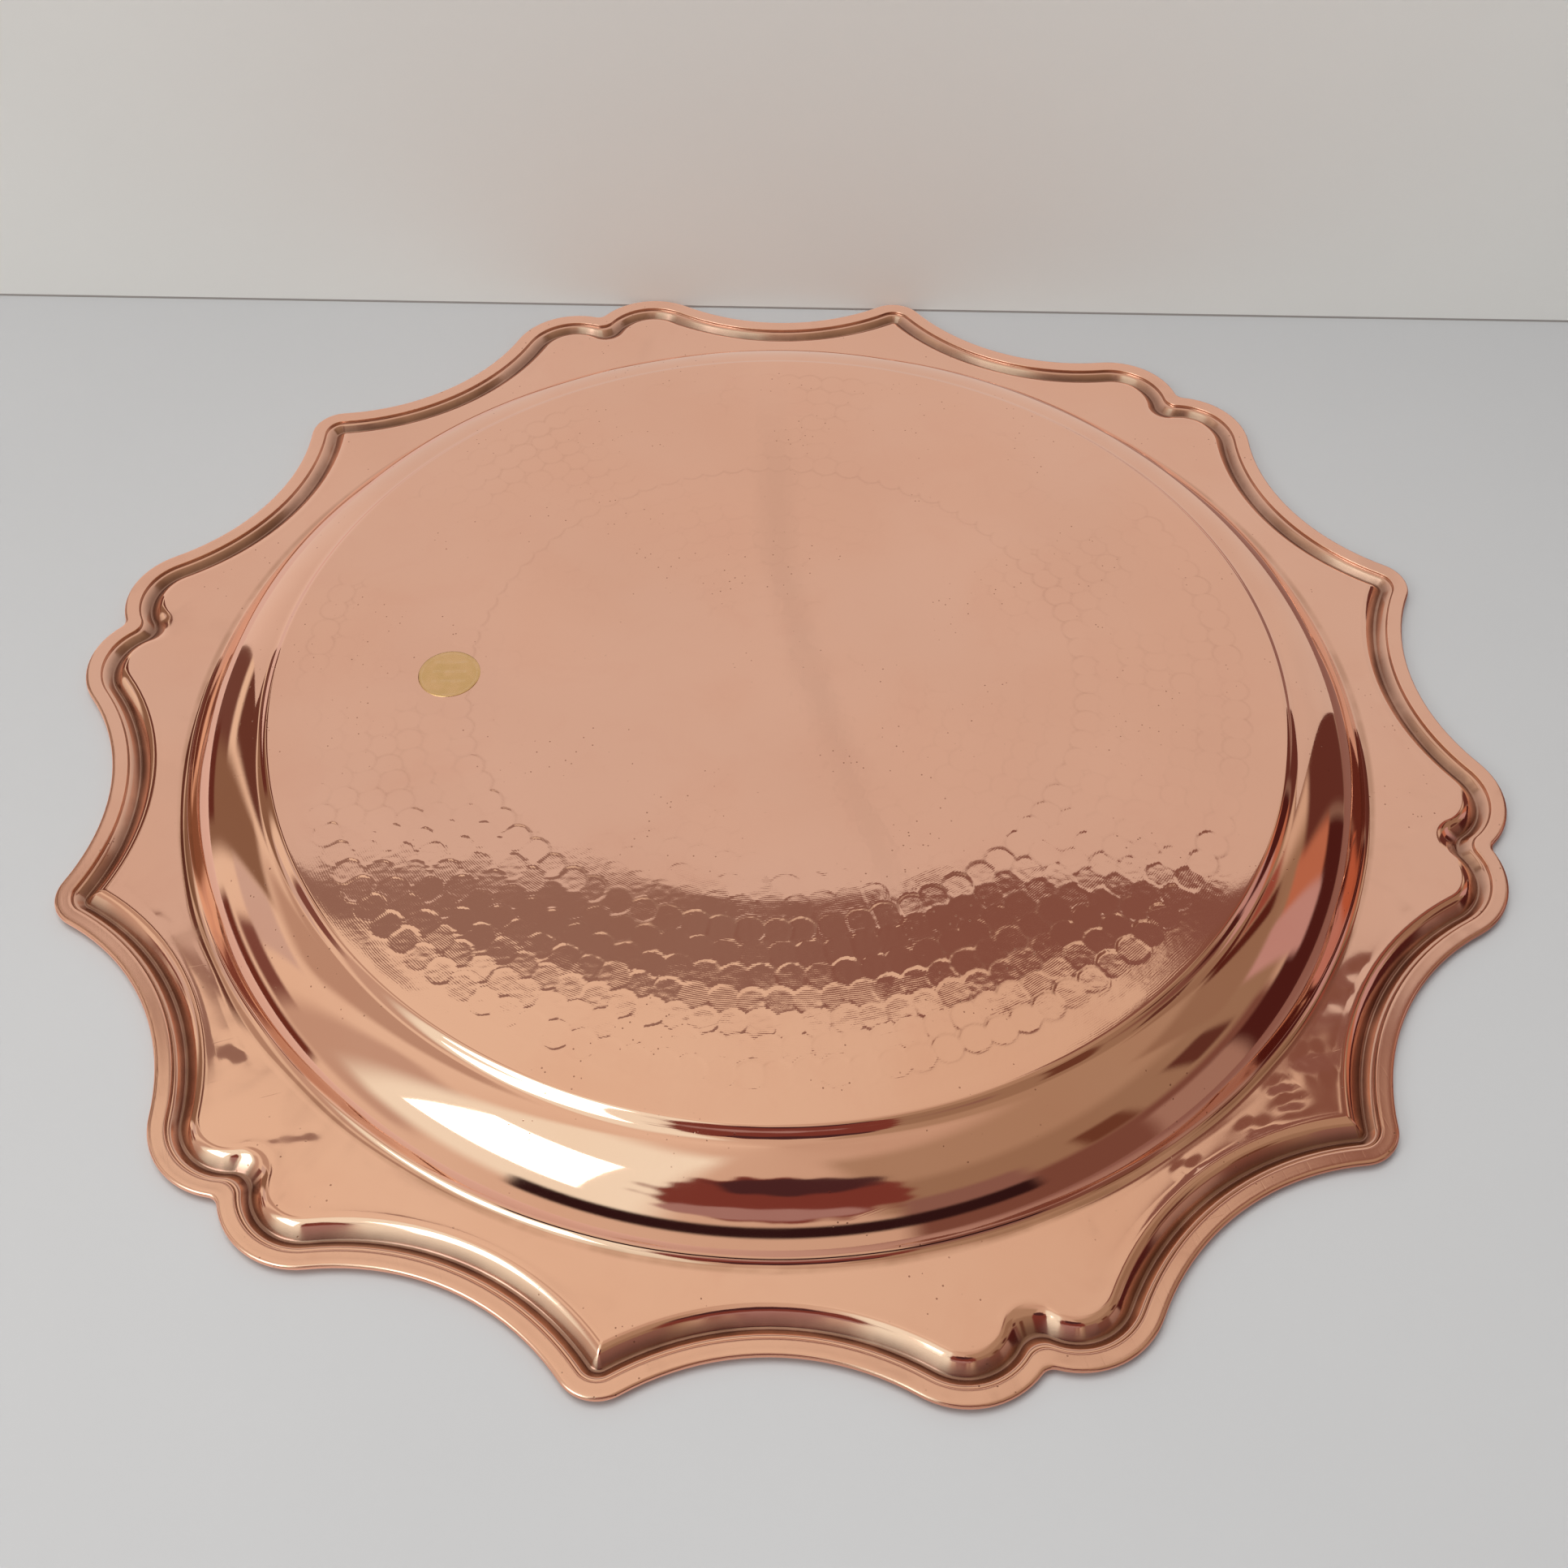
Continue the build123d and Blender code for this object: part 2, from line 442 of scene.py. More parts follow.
# ------------------------------------------------------------------- tray mesh

NO_INSET = 99.0            # inset given to points that are not on the rim


class Skin:
    """Rings of points joined into one surface, from the rim to the axis."""

    def __init__(self):
        self.points, self.faces, self.rings, self.total = [], [], [], 0
        self.insets, self.dirt = [], []

    def ring(self, x, y, z, inset=NO_INSET, dirt=None):
        """Adds a ring of points, joined to the one before."""
        self.points.append(np.stack([x, y, z], 1))
        self.insets.append(np.full(len(x), inset))
        self.dirt.append(np.zeros(len(x)) if dirt is None else dirt)
        index = np.arange(self.total, self.total + len(x))
        self.total += len(x)
        if self.rings:
            self.join(self.rings[-1], index)
        self.rings.append(index)

    def join(self, a, b):
        """Triangles between two rings, which may differ in their counts."""
        if len(a) == len(b):
            a2, b2 = np.roll(a, -1), np.roll(b, -1)
            self.faces += [np.stack([a, a2, b2], 1), np.stack([a, b2, b], 1)]
            return
        everything = np.concatenate(self.points)
        pa, pb = everything[a], everything[b]
        ta = np.arctan2(pa[:, 1], pa[:, 0]) % (2 * math.pi)
        tb = np.arctan2(pb[:, 1], pb[:, 0]) % (2 * math.pi)
        a, ta = a[np.argsort(ta, kind="stable")], np.sort(ta, kind="stable")
        b, tb = b[np.argsort(tb, kind="stable")], np.sort(tb, kind="stable")
        ta = np.append(ta, ta[0] + 2 * math.pi)
        tb = np.append(tb, tb[0] + 2 * math.pi)
        i = j = 0
        made = []
        while i < len(a) or j < len(b):
            if j >= len(b) or (i < len(a) and ta[i + 1] <= tb[j + 1]):
                made.append((a[i % len(a)], a[(i + 1) % len(a)], b[j % len(b)]))
                i += 1
            else:
                made.append((a[i % len(a)], b[(j + 1) % len(b)], b[j % len(b)]))
                j += 1
        self.faces.append(np.array(made))

    def close(self, z):
        """Ends the surface in a point on the axis."""
        last = self.rings[-1]
        self.points.append(np.array([[0.0, 0.0, z]]))
        self.insets.append(np.array([NO_INSET]))
        self.dirt.append(np.zeros(1))
        tip = np.full(len(last), self.total)
        self.faces.append(np.stack([last, np.roll(last, -1), tip], 1))
        self.total += 1


DENTS = (                  # direction, distance from the axis, size, lean
    (-37.1, 160.5, 2.3, -0.075), (-38.9, 166.2, 2.4, -0.065), (-47.3, 161.3, 3.0, 0.055),
    (-51.3, 159.8, 3.4, 0.060), (-57.4, 162.1, 3.8, 0.055), (-61.3, 159.9, 2.7, 0.065),
    (-62.1, 164.4, 2.4, 0.065), (-66.2, 162.7, 2.7, 0.070), (-72.8, 160.4, 2.2, 0.060),
    (-175.7, 163.2, 1.8, -0.060), (-159.6, 162.2, 2.8, 0.055), (-148.6, 161.7, 2.2, 0.045),
    (-149.8, 165.6, 2.2, 0.045), (-29.5, 163.5, 2.0, -0.050),
)


DENT_DEPTH, DENT_LENGTH = 0.05, 1.45       # length over width


def flange_change(x, y):
    """Waviness of the flange and its dents, long facets that lean to one side."""
    change = waves(x, y, *FLANGE_SWELL) + waves(x, y, *FLANGE_RIPPLE)
    turn = math.radians(VIEW_TURN)
    for angle, radius, size, lean in DENTS:
        cx, cy = polar(radius, angle)
        along = (x - cx) * math.cos(turn) + (y - cy) * math.sin(turn)
        across = (y - cy) * math.cos(turn) - (x - cx) * math.sin(turn)
        off = np.hypot(along / (DENT_LENGTH * size), across / size)
        change -= (lean * across + DENT_DEPTH) * np.exp(-(off**4))
    return change


SPREAD_SIDE, SPREAD_WIDTH = math.radians(197), 0.34      # in radians
SPREAD_LEAST, SPREAD_MOST, SPREAD_WAVE, SPREAD_RIPPLE = 0.25, 1.5, 0.5, 0.12


def foot_spread(turn):
    """How far the foot of the wall runs out over the flange, past its circle."""
    off = (turn - SPREAD_SIDE + math.pi) % (2 * math.pi) - math.pi
    side = np.exp(-((off / SPREAD_WIDTH) ** 2))
    return (SPREAD_LEAST + side * (SPREAD_MOST + SPREAD_WAVE * np.sin(24 * turn))
            + SPREAD_RIPPLE * np.sin(31 * turn))


def rim_rows():
    """(inset, height) rows of the rim's upper face, and of its lower face."""
    upper = []
    for turn in np.linspace(-90, 90, 11):
        t = math.radians(turn)
        upper.append((SHEET - SHEET * math.cos(t), LIP_BASE + SHEET + SHEET * math.sin(t)))
    top, strip = LIP_BASE + 2 * SHEET, LIP_BASE + SHEET
    upper += [(1.3, top), (1.9, top - 0.02), (2.6, top - 0.05), (3.3, top - 0.06),
              (3.8, top - 0.07), (4.0, top - 0.12), (4.1, top - 0.24),
              (4.13, strip + 0.3), (4.16, strip - 0.10), (4.26, strip - 0.12),
              (4.33, strip - 0.03), (4.45, strip)]
    groove = (GROOVE_FLOOR, SHEET)
    press = pressed((GROOVE_EDGE, strip), groove, EDGE_SHOULDER, FLOOR_OUTER, 6)
    press += pressed(groove, (MOULDING, FLANGE_TOP), FLOOR_INNER, FLANGE_SHOULDER, 8)[1:]
    upper += [(inset, height) for inset, height, _ in press]
    lower = [(2.4, LIP_BASE), (SHEET, LIP_BASE)]
    for inset, height, slope in press:
        lower.insert(0, (inset + SHEET * math.sin(slope), height - SHEET * math.cos(slope)))
    return upper, lower


CELL = 0.46                # mesh size on the hammered face
COARSE = 1.1               # and on the face under it
MIDDLE, MIDDLE_CELL = 40.0, 0.75           # radius inside which it is coarser


def ring_count(radius, cell):
    """Points on a ring, from a few set counts so that most rings match."""
    for count in (72, 144, 288, 576, 768, 1152, 1536):
        if 2 * math.pi * radius / count <= cell * 1.15:
            return count
    return 1728


def base_radii(cell):
    """Radii of the base's rings, from its rim to a small ring at the axis."""
    outer = np.linspace(BASE_RIM[0], MIDDLE, round((BASE_RIM[0] - MIDDLE) / cell) + 1)
    inner = np.linspace(MIDDLE, 2.0, round(MIDDLE / max(cell, MIDDLE_CELL)) + 1)
    return np.concatenate([outer, inner[1:]])


FLANGE_STEPS, FLANGE_STEPS_UNDER = 20, 10
WALL_POINTS, WALL_POINTS_UNDER = 1152, 768
WALL_CELL, WALL_CELL_UNDER = 0.6, 1.2
RIM_SWAY = 0.05
SWAY_PHASES = np.random.default_rng(21).uniform(0, 2 * math.pi, 6)
FOOT_ROLL = 0.10           # how far the flange rolls down beside the moulding
SMALLEST_FACE = 1e-13      # square metres, doubled; smaller ones are slivers


def circle(radius, count):
    turn = 2 * math.pi * np.arange(count) / count
    return turn, radius * np.cos(turn), radius * np.sin(turn)


def rim_height(turn, height):
    """The rim's height with the slow rise and fall of a hand-bent edge."""
    sway = sum(math.pow(k + 1, -0.5) * np.sin((3 + 4 * k) * turn + phase)
               for k, phase in enumerate(SWAY_PHASES)) / 3
    return np.clip(height + RIM_SWAY * sway * min(1.0, height / 2.0), 0.0, None)


def flange_rings(inset, spread, steps):
    """(share, x, y, change in height) of rings from the moulding to the foot."""
    start = outline(inset)
    turn = np.arctan2(start[:, 1], start[:, 0])
    reach = FOOT_RADIUS + spread * foot_spread(turn)
    foot = reach[:, None] * np.stack([np.cos(turn), np.sin(turn)], 1)
    for k in range(1, steps):
        share = k / steps
        x, y = (start + (foot - start) * share).T
        ends = min(1.0, share * 5) * min(1.0, (1 - share) * 5)
        yield share, x, y, flange_change(x, y) * ends


def upper_skin(rim):
    """The face that shows: rim, flange, wall, step and hammered base."""
    skin = Skin()
    for inset, height in rim:
        x, y = outline(inset).T
        skin.ring(x, y, rim_height(np.arctan2(y, x), height), inset)
    for share, x, y, change in flange_rings(MOULDING, 1.0, FLANGE_STEPS):
        roll = FOOT_ROLL * math.exp(-4.5 * share) * min(1.0, share * 5)
        skin.ring(x, y, FLANGE_TOP + change - roll, MOULDING + 10 * share)
    for radius, height in wall_rows(WALL_CELL, 0.0):
        turn, x, y = circle(1.0, WALL_POINTS)
        bow = 1 + 0.00022 * np.sin(3 * turn + 0.4) + 0.00012 * np.sin(7 * turn + 2.0)
        out = foot_spread(turn) * max(0.0, (radius - 152.0) / 3.3) ** 2
        reach = radius * bow + out
        skin.ring(reach * x, reach * y, np.full(WALL_POINTS, height))
    for radius in base_radii(CELL):
        count = ring_count(radius, CELL if radius > MIDDLE else MIDDLE_CELL)
        _, x, y = circle(radius, count)
        skin.ring(x, y, base_height(np.full(count, radius)) + base_change(x, y),
                  dirt=hammered(x, y)[1])
    skin.close(middle_height())
    return skin


def middle_height():
    zero = np.zeros(1)
    return float(base_height(zero)[0]) + base_change(zero, zero)[0]


def lower_skin(upper, rim):
    """The face under it, joined to the upper one at the edge of the rim."""
    under = Skin()
    under.points, under.total = [np.concatenate(upper.points)], upper.total
    under.insets = [np.concatenate(upper.insets)]
    under.dirt = [np.concatenate(upper.dirt)]
    under.rings = [upper.rings[0]]
    for inset, height in reversed(rim[:-1]):
        x, y = outline(inset).T
        under.ring(x, y, np.full(len(x), max(height, 0.0)))
    for _, x, y, change in flange_rings(rim[0][0], 0.0, FLANGE_STEPS_UNDER):
        under.ring(x, y, FLANGE_TOP - SHEET + change)
    for radius, height in wall_rows(WALL_CELL_UNDER, SHEET):
        _, x, y = circle(radius, WALL_POINTS_UNDER)
        under.ring(x, y, np.full(WALL_POINTS_UNDER, height))
    for radius in base_radii(COARSE):
        count = min(ring_count(radius, COARSE), WALL_POINTS_UNDER)
        slope = np.arctan(np.gradient(base_height(radius + np.array([-0.5, 0, 0.5]))))[1]
        _, x, y = circle(radius + SHEET * math.sin(slope), count)
        height = base_height(np.full(count, radius))
        under.ring(x, y, height - SHEET + base_change(x, y))
    under.close(middle_height() - SHEET)
    return under


def build_tray():
    upper_rim, lower_rim = rim_rows()
    upper = upper_skin(upper_rim)
    under = lower_skin(upper, lower_rim)
    points = np.concatenate(under.points) * MM
    faces = np.concatenate(upper.faces + [f[:, ::-1] for f in under.faces])
    a, b, c = points[faces[:, 0]], points[faces[:, 1]], points[faces[:, 2]]
    area = np.linalg.norm(np.cross(b - a, c - a), axis=1)
    faces = faces[area > SMALLEST_FACE]
    mesh = bpy.data.meshes.new("tray")
    mesh.vertices.add(len(points))
    mesh.vertices.foreach_set("co", points.astype(np.float32).ravel())
    mesh.loops.add(faces.size)
    mesh.loops.foreach_set("vertex_index", faces.astype(np.int32).ravel())
    mesh.polygons.add(len(faces))
    mesh.polygons.foreach_set("loop_start", np.arange(0, faces.size, 3, dtype=np.int32))
    mesh.update(calc_edges=True)
    mesh.validate()
    mesh.shade_smooth()
    for name, values in (("inset", under.insets), ("dirt", under.dirt)):
        layer = mesh.attributes.new(name, "FLOAT", "POINT")
        layer.data.foreach_set("value", np.concatenate(values).astype(np.float32))
    obj = bpy.data.objects.new("hammered_tray", mesh)
    bpy.context.scene.collection.objects.link(obj)
    return obj


# -------------------------------------------------------------------- materials

# Colours in linear light.  Lengths in the node trees are in metres, like the
# object coordinates; only the inset from the rim is in millimetres.
COPPER, COPPER_DEEPER = (0.945, 0.605, 0.465, 1), (0.930, 0.575, 0.430, 1)
COPPER_MOTTLED, COPPER_STAINED = (0.91, 0.54, 0.41, 1), (0.72, 0.45, 0.34, 1)
# The groove's colour is tarnish and painted shade on its flanks.
GROOVE_TARNISH_AND_SHADE, HEM_TARNISH = (0.22, 0.12, 0.09, 1), (0.26, 0.13, 0.09, 1)
# The foot colour is painted shade in the fillet where the wall meets the flange.
FOOT_PAINTED_SHADE, HELD_DIRT = (0.42, 0.23, 0.14, 1), (0.50, 0.28, 0.20, 1)
PIT_COLOUR = (0.30, 0.14, 0.09, 1)
TURNING_PITCH = 0.00052
MICROMETRE = 0.000001


def copper_regions(n, place):
    """Where each kind of wear, dirt and painted shade lies, each from 0 to 1."""
    x, y, _ = n.add("SeparateXYZ", Vector=place).outputs
    away = n.math("SQRT", n.plus(n.times(x, x), n.times(y, y)))
    inset, held = n.attribute("inset"), n.attribute("dirt")
    flange = n.smooth(away, 0.1545, 0.1560)
    grime = n.noise(place, 55.0, 4.0, 0.6)
    pits = n.add("TexVoronoi", Vector=place, Scale=420.0).outputs["Distance"]
    hard_ring = n.band(away, 0.0765, 0.0800, 0.0006)
    return {
        "away": away,
        "base": n.smooth(away, 0.1285, 0.1300, 1.0, 0.0),
        "flange": flange,
        "lip": n.smooth(inset, 4.0, 4.6, 1.0, 0.0),
        "dirt": n.math("MAXIMUM",
                       n.times(held, n.smooth(n.noise(place, 26.0, 3.0, 0.6), 0.46, 0.70)),
                       n.times(held, hard_ring, 0.9)),
        # Groove: tarnish and painted shade.
        "groove": n.times(n.band(inset, 5.4, 8.8, 1.3),
                          n.smooth(grime, 0.2, 0.65, 0.6, 1.0)),
        "hem": n.times(n.band(inset, 4.08, 4.34, 0.1),
                       n.smooth(grime, 0.3, 0.6, 0.5, 1.0)),
        # Foot of the wall: painted shade in its fillet.
        "foot": n.times(n.band(away, 0.1542, 0.1560, 0.0006),
                        n.smooth(n.noise(place, 60.0, 3.0, 0.6), 0.35, 0.62, 0.35, 1.0)),
        "stain": n.times(flange, n.smooth(n.noise(place, 30.0, 3.0, 0.55, 1.0),
                                          0.55, 0.75)),
        "mottle": n.noise(place, 60.0, 4.0, 0.6, 0.6),
        "pit": n.times(n.smooth(pits, 0.06, 0.11, 1.0, 0.0),
                       n.smooth(n.noise(place, 36.0, 2.0, 0.5), 0.51, 0.60)),
    }


def copper_colour(n, place, where):
    cloud = n.noise(place, 14.0, 3.0, 0.55)
    colour = n.mix(n.smooth(cloud, 0.35, 0.68), COPPER, COPPER_DEEPER)
    colour = n.mix(n.smooth(where["mottle"], 0.45, 0.8, 0.0, 0.35), colour, COPPER_MOTTLED)
    for region, amount, tone in (("stain", 0.22, COPPER_STAINED),
                                 # tarnish and painted shade in the groove
                                 ("groove", 0.82, GROOVE_TARNISH_AND_SHADE),
                                 ("hem", 0.75, HEM_TARNISH),
                                 # painted shade at the wall's foot
                                 ("foot", 0.45, FOOT_PAINTED_SHADE),
                                 ("dirt", 0.17, HELD_DIRT),
                                 ("pit", 0.75, PIT_COLOUR)):
        colour = n.mix(n.times(where[region], amount), colour, tone)
    return colour


def copper_roughness(n, where):
    rough = n.smooth(where["mottle"], 0.3, 0.8, 0.035, 0.075)
    for region, more in (("dirt", 0.10), ("flange", 0.025), ("stain", 0.10),
                         ("groove", 0.14), ("lip", 0.09)):
        rough = n.plus(rough, n.times(where[region], more))
    return rough


def copper_relief(n, place, where):
    """Fine relief in micrometres: turning lines concentric with the well,
    crinkle, shallow swells, hairline scratches and pits."""
    wobble = n.noise(place, 140.0, 2.0, 0.5)
    lines = n.math("SINE", n.plus(n.times(where["away"], 2 * math.pi / TURNING_PITCH),
                                  n.times(wobble, 16.0)))
    patchy = n.smooth(n.noise(place, 110.0, 2.0, 0.5), 0.38, 0.6)
    lines = n.times(lines, patchy, where["base"], 1.2)
    field = n.times(where["base"], n.smooth(where["away"], 0.068, 0.074, 0.25, 1.0))
    crinkle = n.times(n.noise(place, 1900.0, 3.0, 0.6), n.smooth(field, 0, 1, 0.6, 3.2))
    swell = n.times(n.noise(place, 620.0, 2.0, 0.5, 0.4), n.smooth(field, 0, 1, 1.2, 3.6))
    scratch = n.smooth(n.scaled_noise(place, (30.0, 900.0, 1.0), 0.7), 0.70, 0.78)
    fine = n.smooth(n.scaled_noise(place, (1400.0, 90.0, 1.0), 0.25), 0.56, 0.72)
    return n.plus(lines, crinkle, swell, n.times(scratch, -2.5),
                  n.times(fine, where["lip"], -4.0), n.times(where["pit"], -12.0))


def copper_material():
    """Polished, lacquered copper: turning lines and fine crinkle on the base,
    hairlines and soft stains on the flange, tarnish and painted shade in the groove."""
    mat, out = shader("polished_copper")
    n = Nodes(mat)
    place = n.add("TexCoord").outputs["Object"]
    where = copper_regions(n, place)
    bump = n.add("Bump", Height=copper_relief(n, place, where), Strength=1.0,
                 Distance=MICROMETRE)
    surface = n.add("BsdfPrincipled", Base_Color=copper_colour(n, place, where),
                    Metallic=1.0, Roughness=copper_roughness(n, where),
                    Normal=bump.outputs[0])
    n.put(out.inputs[0], surface.outputs[0])
    return mat


GOLD, GOLD_PALER, PRINT = (0.79, 0.54, 0.25, 1), (0.86, 0.58, 0.30, 1), (0.90, 0.66, 0.42, 1)


def foil_material():
    """Thin gold foil with a printed ring and plain bars.  The print's
    coordinates run from -1 to 1 across the label."""
    mat, out = shader("gold_foil")
    n = Nodes(mat)
    texture = n.add("TexCoord")
    u, v, _ = n.add("SeparateXYZ", Vector=texture.outputs["UV"]).outputs
    away = n.math("SQRT", n.plus(n.times(u, u), n.times(v, v)))
    ring = n.times(n.smooth(away, 0.86, 0.88), n.smooth(away, 0.91, 0.93, 1.0, 0.0))
    bars = n.smooth(n.math("SINE", n.times(v, 15.0)), 0.45, 0.7)
    length = n.smooth(n.math("ABSOLUTE", u), 0.52, 0.58, 1.0, 0.0)
    tall = n.smooth(n.math("ABSOLUTE", v), 0.60, 0.64, 1.0, 0.0)
    solid = texture.outputs["Object"]
    wear = n.noise(solid, 900.0, 4.0, 0.6)
    ink = n.times(n.math("MAXIMUM", ring, n.times(bars, length, tall)),
                  n.smooth(wear, 0.38, 0.6, 0.2, 0.9))
    gold = n.mix(n.smooth(n.noise(solid, 300.0, 3.0, 0.5), 0.3, 0.7), GOLD, GOLD_PALER)
    bump = n.add("Bump", Height=n.plus(wear, ink), Strength=0.3, Distance=10 * MICROMETRE)
    surface = n.add("BsdfPrincipled", Base_Color=n.mix(n.times(ink, 0.45), gold, PRINT),
                    Metallic=1.0, Roughness=n.smooth(wear, 0.3, 0.7, 0.22, 0.34),
                    Normal=bump.outputs[0])
    n.put(out.inputs[0], surface.outputs[0])
    return mat


# ------------------------------------------------------------------------ label

LABEL_AROUND, LABEL_ROWS = 96, 22
LABEL_TOP, LABEL_UNDER = 0.050, 0.006      # heights over the hammered base
LABEL_EDGE = 0.02                          # how far its edge turns down


def label_faces():
    """Faces of the top and bottom sheets and of the edge between them.

    The middle ring of each sheet is a single point, the ring's first.
    """
    total, faces = LABEL_AROUND * (LABEL_ROWS + 1), []
    for j in range(LABEL_AROUND):
        j2 = (j + 1) % LABEL_AROUND
        for k in range(LABEL_ROWS):
            a, b = k * LABEL_AROUND + j, k * LABEL_AROUND + j2
            c, d = b + LABEL_AROUND, a + LABEL_AROUND
            if k == 0:
                faces += [(0, d, c), (total, total + c, total + d)]
            else:
                faces += [(a, d, c, b), (total + a, total + b, total + c, total + d)]
        faces.append((d, total + d, total + c, c))
    return faces


def build_label():
    """A thin disc of foil that follows the hammered base."""
    radius = LABEL_DIAMETER / 2
    cx, cy = polar(LABEL_RADIUS, LABEL_ANGLE)
    share = np.repeat(np.arange(LABEL_ROWS + 1) / LABEL_ROWS, LABEL_AROUND)
    _, across, along = circle(radius, LABEL_AROUND)
    x = cx + share * np.tile(across, LABEL_ROWS + 1)
    y = cy + share * np.tile(along, LABEL_ROWS + 1)
    ground = base_height(np.hypot(x, y)) + base_change(x, y)
    top = ground + LABEL_TOP - LABEL_EDGE * np.clip((share - 0.96) / 0.04, 0, 1)
    points = np.concatenate([np.column_stack([x, y, top]),
                             np.column_stack([x, y, ground + LABEL_UNDER])]) * MM
    obj = new_mesh("foil_label_disc", points.tolist(), label_faces())
    mesh = obj.data
    layer = mesh.uv_layers.new(name="print")
    turn = math.radians(VIEW_TURN)
    for loop in mesh.loops:
        px, py = mesh.vertices[loop.vertex_index].co[:2]
        du, dv = (px / MM - cx) / radius, (py / MM - cy) / radius
        layer.data[loop.index].uv = (math.cos(turn) * du + math.sin(turn) * dv,
                                     -math.sin(turn) * du + math.cos(turn) * dv)
    work = bmesh.new()
    work.from_mesh(mesh)
    unused = [v for v in work.verts if not v.link_faces]     # of the middle rings
    bmesh.ops.delete(work, geom=unused, context="VERTS")
    work.to_mesh(mesh)
    work.free()
    mesh.shade_smooth()
    return obj


# ------------------------------------------------------------------------ stage

def glow(n, colour, strength=1.0):
    return n.add("Emission", Color=colour, Strength=strength).outputs[0]


def only_reflected(obj):
    """A card that shows in reflections and lights nothing."""
    obj.visible_camera = False
    obj.visible_diffuse = False
    obj.visible_transmission = False
    obj.visible_shadow = False


TINT = np.array([0.94, 0.59, 0.44])     # copper's own colour


def behind_copper(*rgb):
    """Light of a surrounding that looks like this sRGB colour in the copper."""
    return linear(*rgb) / TINT


SURROUNDINGS = (
    # direction (0 front, 90 right), half width, zenith from, to, softness, colour
    (0, 190, 94, 150, 4, (104, 52, 38)),
    (108, 56, 16, 46, 9, (168, 120, 90)),
    (112, 52, 42, 69, 8, (150, 104, 76)),
    (126, 34, 66, 92, 5, (118, 66, 50)),
    (80, 14, 34, 52, 4, (146, 99, 72)),
    (56, 6, 36, 47, 3, (146, 68, 50)),
    (66, 3, 36, 49, 2, (84, 30, 20)),
    (88, 22, 72, 92, 3, (74, 26, 20)),
    (71, 6, 56, 76, 3, (180, 98, 68)),
    (81, 6, 53, 78, 3, (186, 126, 110)),
    (58, 8, 58, 92, 4, (96, 44, 33)),
    (103, 5, 51, 63, 3, (92, 44, 32)),
    (125, 5, 55, 66, 3, (104, 54, 36)),
    (112, 9, 72, 92, 4, (156, 105, 84)),
    (150, 10, 58, 76, 4, (134, 84, 68)),
    (47, 6, 40, 62, 3, (124, 74, 55)),
    (43, 9, 22, 40, 3, (128, 74, 56)),
    (-49, 6, 36, 68, 3, (102, 52, 38)),
    (-54, 8, 74, 94, 3, (110, 60, 46)),
    (-65, 7, 52, 94, 4, (134, 87, 62)),
    (-62, 6, 85, 96, 2, (98, 42, 30)),
    (-72, 12, 20, 50, 7, (184, 132, 104)),
    (-79, 7, 54, 72, 3, (202, 154, 130)),
    (-90, 8, 71, 82, 3, (122, 66, 52)),
    (-92, 14, 85, 96, 3, (104, 42, 28)),
    (-110, 14, 36, 84, 7, (192, 140, 112)),
    (-136, 26, 14, 74, 10, (240, 205, 172)),
    (180, 40, 70, 80, 3, (46, 19, 17)),
)
ROUND_SURROUNDINGS = (
    # direction, half width, zenith, half height, softness, colour
    (179, 23, 47, 19, 0.12, (118, 50, 38)),
    (176, 17, 36, 7, 0.2, (72, 34, 31)),
    (182, 17, 59, 5, 0.2, (160, 106, 92)),
)


def toned(name, points, faces, colours):
    """A reflected shape that glows in a colour given at each point."""
    obj = new_mesh(name, points, faces)
    colours = np.column_stack([colours, np.ones(len(points))])
    layer = obj.data.color_attributes.new("tone", "FLOAT_COLOR", "POINT")
    layer.data.foreach_set("color", colours.astype(np.float32).ravel())
    mat, out = shader(name + "_tones")
    n = Nodes(mat)
    tone = n.add("VertexColor")
    tone.layer_name = "tone"
    n.put(out.inputs[0], glow(n, tone.outputs[0]))
    obj.data.materials.append(mat)
    only_reflected(obj)


def toned_sheet(name, rows):
    """A toned shape from rows of (x, y, z, colour) in the room's axes."""
    width = len(rows[0])
    points = [room(*p[:3]) for row in rows for p in row]
    faces = [(k, k + 1, k + width + 1, k + width)
             for start in range(0, width * (len(rows) - 1), width)
             for k in range(start, start + width - 1)]
    toned(name, points, faces, [p[3] for row in rows for p in row])


ROOM_RADIUS, ROOM_ACROSS, ROOM_DOWN = 2200.0, 480, 176
ROOM_TOP, ROOM_FOOT = 0.5, 132             # angles from the zenith
CEILING, CEILING_BRIGHT, CEILING_SIDE = (194, 141, 111), (226, 174, 140), -60


